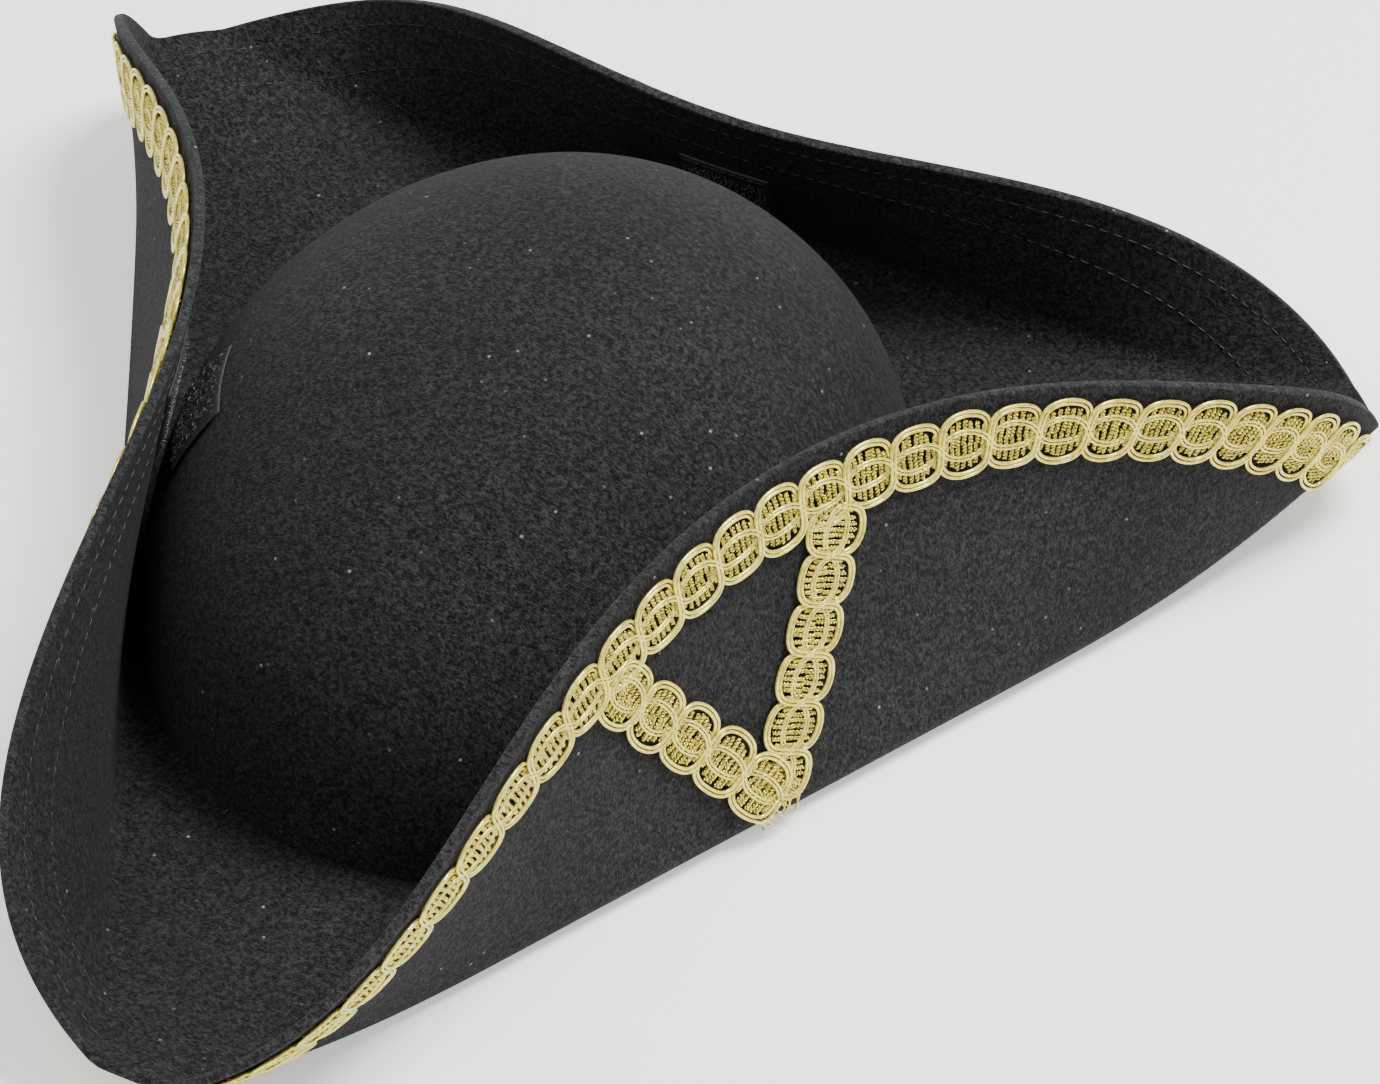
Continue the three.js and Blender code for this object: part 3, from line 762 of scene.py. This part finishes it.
EDGE_LENGTHS = (
    (RIGHT, "front", -90, -28, ("right_edge_braid", "front_corner_braid")),
    (RIGHT, "rear", -28, 32, ("right_edge_braid", "right_rear_corner_braid")),
    (BACK, "right", 32, 90, ("back_edge_braid", "right_rear_corner_braid")),
    (BACK, "left", 90, 148, ("back_edge_braid", "left_rear_corner_braid")),
    (LEFT, "rear", 148, 208, ("left_edge_braid", "left_rear_corner_braid")),
    (LEFT, "front", 208, 270, ("left_edge_braid", "front_corner_braid")),
)
black_thread, nodes, links, surface = new_material("black_sewing_thread")
where = nodes.new("ShaderNodeTexCoord").outputs["Object"]
plies = noise(nodes, links, where, 1800, 1)
links.new(
    ramp(nodes, links, plies, [(0.4, (0.006, 0.006, 0.006)), (0.7, (0.03, 0.03, 0.031))]),
    surface.inputs["Base Color"],
)
surface.inputs["Roughness"].default_value = 0.45
STITCH = 2.5 * MM
STITCH_GAP = 1.1 * MM
SEAMS_ACROSS = (5.2 * MM, -5.6 * MM)


def sewn_through(bundle, first, last, across):
    """Running stitches that show on the inner face, behind the braid they hold."""
    t = np.linspace(0, 1, 7)
    paths, outs = [], []
    start, stop = first * BRAID_PITCH, last * BRAID_PITCH
    for k in range(int((stop - start) / (STITCH + STITCH_GAP))):
        s = start + k * (STITCH + STITCH_GAP) + STITCH * t
        x, y = edge_place(s, np.full(t.shape, across))
        paths.append(on_brim(x, y, FELT / 2 + 0.22 * MM * np.sin(pi * t) - 0.12 * MM))
        outs.append(inward(x, y))
    bundle.add(*tubes(np.array(paths), np.array(outs), 0.17 * MM, 5), 2)


for side, part, start, stop, nodes in EDGE_LENGTHS:
    gimp = Bundle()
    weave(gimp, along_edge, cell_at(start), cell_at(stop), np.random.default_rng(int(start) + 100))
    for across in SEAMS_ACROSS:
        sewn_through(gimp, cell_at(start), cell_at(stop), across)
    braid = gimp.piece(f"edge_braid_{side.name}_{part}", [gold_cord, lurex_rib, black_thread])
    bend_with(braid)
    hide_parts(*nodes)

# ==== V of braid on the two front sides ====
# Two short lengths of the same gimp on each front side, sewn from under the edge braid down to a
# point just above the fold. The front length laps over the rear one there, and its cut end frays.
V_TIP = (-2.0 * MM, 10.5 * MM)
V_REAR_TOP = 29 * MM
V_FRONT_TOP = -43 * MM
LEAST_HEIGHT = 0.6 * MM


def straight_braid(side, tip, top):
    """A place function for gimp laid straight from tip to top, both as (along, across) the fold."""
    run = np.array(top) - np.array(tip)
    length = float(np.hypot(*run))
    way = run / length
    aside = np.array([-way[1], way[0]])

    def place(s, w, h):
        u = tip[0] + way[0] * s + aside[0] * w
        v = tip[1] + way[1] * s + aside[1] * w
        x, y = side.flat(u, v)
        point = on_brim(x, y, -FELT / 2 - h)
        point[..., 2] = np.maximum(point[..., 2], LEAST_HEIGHT)
        return point, -inward(x, y)

    return place, length


for side in (RIGHT, LEFT):
    for part, top_u, over in (("rear", V_REAR_TOP, 0.0), ("front", V_FRONT_TOP, 0.9 * MM)):
        x, y = side.flat(top_u, 0.0)
        top_v = float(farthest(inside_blank, x, y, side.facing[0], side.facing[1]))
        top = (top_u, top_v - BRAID_INSET - BRAID_WIDTH * 0.75)
        tip = (V_TIP[0], side.fold + V_TIP[1])
        place, length = straight_braid(side, tip, top)
        cells = round(length / BRAID_PITCH)
        fit = length / (cells * BRAID_PITCH)

        def laid(s, w, h, place=place, fit=fit, over=over, length=length):
            lap = over * np.clip(1 - s * fit / (22 * MM), 0, 1) ** 0.5
            return place(s * fit, w, h + lap)

        gimp = Bundle()
        weave(gimp, laid, 0, cells, np.random.default_rng(7 + len(part)))
        # frayed ends at the point
        rng = np.random.default_rng(31 + len(part))
        t = np.linspace(0, 1, 9)
        ends, outs = [], []
        for w0 in np.linspace(-6.5, 6.5, 15) * MM:
            w0 = w0 + rng.uniform(-0.3, 0.3) * MM
            reach_out = rng.uniform(1.2, 4.2) * MM
            s = 1.5 * MM - (1.5 * MM + reach_out) * t
            w = w0 + rng.uniform(-1.6, 1.6) * MM * t ** 2
            h = BRAID_FLOAT + rng.uniform(0.2, 1.6) * MM * t ** 2
            point, out = laid(s, w, h)
            ends.append(point)
            outs.append(out)
        gimp.add(*tubes(np.array(ends), np.array(outs), 0.2 * MM, 5), 0)
        braid = gimp.piece(f"v_braid_{side.name}_{part}", [gold_cord, lurex_rib])
        bend_with(braid)
        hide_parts(f"{side.name}_{part}_v_braid")

# ==== Hook patches ====
# A rectangle of black woven hook tape on the inner face of each side, with a smooth selvedge
# along its two long edges and rows of tiny stiff hooks between, sewn on at the border.
PATCH_WIDTH = 25 * MM
PATCH_HEIGHT = 20 * MM
PATCH_CLEAR = 0.1 * MM
SELVEDGE = 2.6 * MM
HOOK_COLUMNS_APART = 1.15 * MM
HOOK_ROWS_APART = 1.0 * MM

tape, nodes, links, surface = new_material("black_woven_tape")
where = nodes.new("ShaderNodeTexCoord").outputs["Object"]
weave_noise = noise(nodes, links, where, 1400, 2)
links.new(
    ramp(nodes, links, weave_noise, [(0.35, (0.012, 0.012, 0.014)), (0.7, (0.045, 0.045, 0.049))]),
    surface.inputs["Base Color"],
)
bump = nodes.new("ShaderNodeBump")
bump.inputs["Strength"].default_value = 0.4
bump.inputs["Distance"].default_value = 0.0002
links.new(weave_noise, bump.inputs["Height"])
links.new(bump.outputs["Normal"], surface.inputs["Normal"])
surface.inputs["Roughness"].default_value = 0.55

bristle, nodes, links, surface = new_material("black_nylon_bristle")
where = nodes.new("ShaderNodeTexCoord").outputs["Object"]
links.new(
    ramp(
        nodes, links, noise(nodes, links, where, 700, 2),
        [(0.4, (0.012, 0.012, 0.013)), (0.7, (0.14, 0.14, 0.16))],
    ),
    surface.inputs["Base Color"],
)
surface.inputs["Roughness"].default_value = 0.2


def tape_slab(place, width, height, thick):
    """A woven tape base: a grid of raised warp ribs with rounded borders, closed underneath."""
    columns, rows = 76, 46
    p = np.linspace(-width / 2, width / 2, columns)
    q = np.linspace(-height / 2, height / 2, rows)
    a, b = np.meshgrid(p, q, indexing="ij")
    inset_a = np.clip((width / 2 - np.abs(a)) / (0.5 * MM), 0, 1)
    inset_b = np.clip((height / 2 - np.abs(b)) / (0.5 * MM), 0, 1)
    round_off = np.sqrt(np.clip(1 - (1 - inset_a) ** 2, 0, 1) * np.clip(1 - (1 - inset_b) ** 2, 0, 1))
    ribs = 0.06 * MM * np.sin(2 * pi * a / (0.9 * MM)) * np.sin(2 * pi * b / (0.9 * MM))
    high = PATCH_CLEAR + (thick * (0.35 + 0.65 * round_off)) + ribs
    top, _ = place(a, b, high)
    under, _ = place(a, b, np.full(a.shape, PATCH_CLEAR))
    at = np.arange(columns * rows).reshape(columns, rows)
    low = at + columns * rows
    quads = [np.stack([at[:-1, :-1], at[1:, :-1], at[1:, 1:], at[:-1, 1:]], -1).reshape(-1, 4)]
    quads.append(np.stack([low[:-1, :-1], low[:-1, 1:], low[1:, 1:], low[1:, :-1]], -1).reshape(-1, 4))
    borders = ((np.s_[:, 0], False), (np.s_[:, -1], True), (np.s_[0, :], True), (np.s_[-1, :], False))
    for edge, turned in borders:
        u, d = at[edge], low[edge]
        ring = np.stack([u[:-1], d[:-1], d[1:], u[1:]], -1)
        quads.append(ring[:, ::-1] if turned else ring)
    points = np.concatenate([top.reshape(-1, 3), under.reshape(-1, 3)])
    return points, np.concatenate(quads).tolist()


def hook_rows(place, rng, width, height, base):
    """Rows of little bent hooks standing on the tape between its selvedges."""
    t = np.linspace(0, 1, 8)
    paths = []
    for a in np.arange(-width / 2 + 1.2 * MM, width / 2 - 1.0 * MM, HOOK_COLUMNS_APART):
        for b in np.arange(-height / 2 + SELVEDGE, height / 2 - SELVEDGE, HOOK_ROWS_APART):
            sway = rng.uniform(-0.25, 0.25, 2) * MM
            way = rng.choice((-1, 1))
            bend = t ** 1.5 * pi * 1.15
            h = base + 0.95 * MM * np.minimum(t * 1.6, 1) - 0.35 * MM * np.clip(t - 0.6, 0, 1) ** 1.0
            s = a + sway[0] * t + way * 0.45 * MM * (1 - np.cos(bend)) / 2
            w = b + sway[1] * t
            point, _ = place(s, np.full(t.shape, 1.0) * w, h)
            paths.append(point)
    paths = np.array(paths)
    side_way = np.tile(np.array([0.31, 0.57, 0.76]), (*paths.shape[:2], 1))
    return tubes(paths, side_way, 0.11 * MM, 4)


def sewing(place, width, height, inset, level, stitch=2.4 * MM, thick=0.16 * MM):
    """Running stitches round a patch, each a short thread dipping at both ends."""
    t = np.linspace(0, 1, 7)
    paths, outs = [], []
    corners = [(-1, -1), (1, -1), (1, 1), (-1, 1), (-1, -1)]
    for (a0, b0), (a1, b1) in zip(corners[:-1], corners[1:]):
        start = np.array([a0 * (width / 2 - inset), b0 * (height / 2 - inset)])
        end = np.array([a1 * (width / 2 - inset), b1 * (height / 2 - inset)])
        length = float(np.hypot(*(end - start)))
        count = max(3, round(length / stitch))
        for k in range(count):
            share = (k + 0.1 + 0.8 * t) / count
            spot = start + (end - start) * share[:, None]
            h = level + 0.16 * MM * np.sin(pi * t) - 0.08 * MM
            point, out = place(spot[:, 0], spot[:, 1], h)
            paths.append(point)
            outs.append(out)
    return tubes(np.array(paths), np.array(outs), thick, 5)


BACK_PATCH_ALONG = -9 * MM
SIDE_PATCH_TOP = CROWN_HEIGHT - 20 * MM
BACK_PATCH_TOP = 0.35 * CROWN_HEIGHT
PATCH_SPOTS = (
    (RIGHT, 0.0, SIDE_PATCH_TOP),
    (LEFT, 0.0, SIDE_PATCH_TOP),
    (BACK, BACK_PATCH_ALONG, BACK_PATCH_TOP),
)
for side, u0, patch_top in PATCH_SPOTS:
    climb = np.linspace(side.fold + 2 * side.radius, BLANK_HALF_WIDTH, 500)
    heights = folded(*side.flat(u0, climb))[:, 2]
    middle_v = float(np.interp(patch_top, heights, climb)) - PATCH_HEIGHT / 2

    def on_side(a, b, h, side=side, u0=u0, middle_v=middle_v):
        x, y = side.flat(u0 + a, middle_v + b)
        return on_brim(x, y, FELT / 2 + h), inward(x, y)

    patch = Bundle()
    patch.add(*tape_slab(on_side, PATCH_WIDTH, PATCH_HEIGHT, 0.6 * MM), 0)
    rng = np.random.default_rng(11)
    patch.add(*hook_rows(on_side, rng, PATCH_WIDTH, PATCH_HEIGHT, 0.6 * MM), 1)
    patch.add(*sewing(on_side, PATCH_WIDTH, PATCH_HEIGHT, 1.3 * MM, 0.75 * MM), 2)
    tab = patch.piece(f"hook_tape_{side.name}", [tape, bristle, tape])
    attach(tab, side.body)
    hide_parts(f"{side.name}_hook_patch")

# ==== Loop patches ====
# The soft halves of the fasteners: matching rectangles of brushed black loop tape sewn to the
# crown where the hook patches press on to it.
LOOPS = 420
for side in SIDES:
    low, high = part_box(f"{side.name}_loop_patch")
    middle = np.array((low + high) / 2)
    around0 = float(np.arctan2(middle[1] / LENGTHEN, middle[0]))
    z0 = float(middle[2])

    def crown_point(a, b, h):
        """A place beside the crown: a round it and b up it from the patch's middle."""
        z = z0 + b
        turn = around0 + a
        half = dome_half_width(CROWN_HALF_WIDTH, CROWN_HEIGHT, z)
        return np.stack([half * np.cos(turn), half * LENGTHEN * np.sin(turn), z], axis=-1)

    eps = 1e-4
    per_turn = float(np.linalg.norm(crown_point(eps, 0.0, 0) - crown_point(-eps, 0.0, 0)) / (2 * eps))
    per_rise = float(np.linalg.norm(crown_point(0.0, eps, 0) - crown_point(0.0, -eps, 0)) / (2 * eps))

    def on_crown(a, b, h, spot=crown_point, wide=per_turn, steep=per_rise):
        a = np.asarray(a) / wide
        b = np.asarray(b) / steep
        a, b = np.broadcast_arrays(a, b)
        da = spot(a + 1e-4, b, 0) - spot(a - 1e-4, b, 0)
        db = spot(a, b + 1e-5, 0) - spot(a, b - 1e-5, 0)
        out = unit(np.cross(da, db))
        return spot(a, b, 0) + out * (np.asarray(h) + 0.5 * MM)[..., None], out

    patch = Bundle()
    patch.add(*tape_slab(on_crown, PATCH_WIDTH, PATCH_HEIGHT, 0.5 * MM), 0)
    rng = np.random.default_rng(23)
    t = np.linspace(0, 1, 8)
    loops, outs = [], []
    for _ in range(LOOPS):
        a = rng.uniform(-PATCH_WIDTH / 2 + 1.2 * MM, PATCH_WIDTH / 2 - 1.2 * MM)
        b = rng.uniform(-PATCH_HEIGHT / 2 + 1.2 * MM, PATCH_HEIGHT / 2 - 1.2 * MM)
        turn = rng.uniform(0, 2 * pi)
        size = rng.uniform(0.5, 1.1) * MM
        a_t = a + np.cos(turn) * size * (t - 0.5) * 1.6
        b_t = b + np.sin(turn) * size * (t - 0.5) * 1.6
        point, out = on_crown(a_t, b_t, 0.45 * MM + size * 0.55 * np.sin(pi * t))
        loops.append(point)
        outs.append(out)
    patch.add(*tubes(np.array(loops), np.array(outs), 0.07 * MM, 4), 1)
    tab = patch.piece(f"loop_tape_{side.name}", [tape, bristle])
    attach(tab, "root")
    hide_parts(f"{side.name}_loop_patch")

# ==== Sweatband ====
# A strip of black cotton tape, turned under at both edges and machined to the felt inside the
# crown's foot, so that the hat sits on cloth and not on wool.
BAND_HEIGHT = 26 * MM
BAND_THICK = 0.9 * MM
BAND_FOOT = 2.85 * MM

cotton, nodes, links, surface = new_material("black_cotton_twill")
where = nodes.new("ShaderNodeTexCoord").outputs["Object"]
twill = nodes.new("ShaderNodeTexWave")
twill.bands_direction = "DIAGONAL"
twill.inputs["Scale"].default_value = 520
twill.inputs["Distortion"].default_value = 1.2
links.new(where, twill.inputs["Vector"])
twill_tone = ramp(
    nodes, links, twill.outputs["Fac"],
    [(0.2, (0.010, 0.010, 0.012)), (0.9, (0.034, 0.034, 0.038))],
)
links.new(twill_tone, surface.inputs["Base Color"])
bump = nodes.new("ShaderNodeBump")
bump.inputs["Strength"].default_value = 0.5
bump.inputs["Distance"].default_value = 0.0002
links.new(twill.outputs["Fac"], bump.inputs["Height"])
links.new(bump.outputs["Normal"], surface.inputs["Normal"])
surface.inputs["Roughness"].default_value = 0.8

band_up = 22
band_round = 300
turn = np.linspace(0, 2 * pi, band_round, endpoint=False)
section_up = np.linspace(0, 1, band_up)
near_foot = np.exp(-((section_up - 0.06) / 0.05) ** 2)
near_top = np.exp(-((section_up - 0.94) / 0.05) ** 2)
hem = 0.35 * MM * (near_foot + near_top)
profile = [(0.25 * MM + BAND_THICK + g, s) for g, s in zip(hem, section_up)]
profile += [(0.15 * MM, s) for s in section_up[::-1]]
band_points = []
for away, s in profile:
    z = BAND_FOOT + BAND_HEIGHT * s
    wall = dome_half_width(CROWN_HALF_WIDTH - FELT, CROWN_HEIGHT - FELT, z) - CROWN_SWELL * 0.4 - away
    pucker = 0.18 * MM * np.sin(turn * 90) * (1 if away > BAND_THICK else 0)
    band_points.append(np.stack([
        (wall + pucker) * np.cos(turn),
        (wall * LENGTHEN + pucker) * np.sin(turn),
        np.full(band_round, z),
    ], axis=-1))
band_points = np.array(band_points)
at = np.arange(band_points.shape[0] * band_round).reshape(-1, band_round)
below = np.roll(at, -1, axis=0)
quads = np.stack([at, np.roll(at, -1, 1), np.roll(below, -1, 1), below], -1).reshape(-1, 4)
band = add_piece("sweatband_tape", band_points.reshape(-1, 3), quads[:, ::-1].tolist(), [cotton], 50)
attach(band, "root")
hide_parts("sweatband")

bpy.context.view_layer.update()
